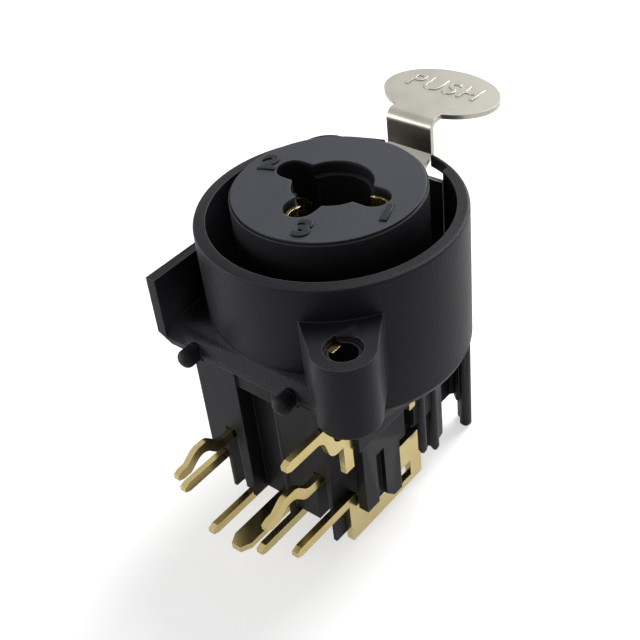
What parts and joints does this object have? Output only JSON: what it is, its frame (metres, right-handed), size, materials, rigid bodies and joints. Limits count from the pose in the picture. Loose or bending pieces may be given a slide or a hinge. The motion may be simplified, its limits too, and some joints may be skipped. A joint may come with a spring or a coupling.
{
  "type": "combined xlr and jack panel socket",
  "caption": "Panel socket for circuit boards that takes an XLR cable plug or a phone jack plug, with a push latch, moulded housing and gold-plated contacts.",
  "frame": {"origin": "on the socket axis, in the plane of the two screw bosses' front faces, which meet the back of the panel", "axes": "+Z out of the mouth towards the plug, +Y towards the push latch, -Y towards the circuit board"},
  "size_m": [0.0252, 0.0391, 0.033],
  "materials": {
    "housing_plastic": "fine matt, black",
    "insert_plastic": "fine matt, black",
    "latch_steel": "rolled, satin",
    "spring_steel": "rolled, satin",
    "contact_gold": "thin gold plating, satin"
  },
  "bodies": {
    "housing": {"housing": "housing_plastic", "socket_insert": "insert_plastic", "latch_spring": "spring_steel", "tip_switch": "contact_gold", "ring_switch": "contact_gold", "tip_contact": "contact_gold", "ring_contact": "contact_gold", "sleeve_contact": "contact_gold", "pole_1_contact": "contact_gold", "pole_2_contact": "contact_gold", "pole_3_contact": "contact_gold"},
    "latch": {"latch": "latch_steel"}
  },
  "joints": [
    {"name": "latch_release", "type": "hinge", "parent": "housing", "child": "latch", "pos_m": [0, 0.00982, -0.0083], "axis": [-1, 0, 0], "range_deg": [0, 6], "stiffness_Nm_per_rad": 0.02}
  ]
}
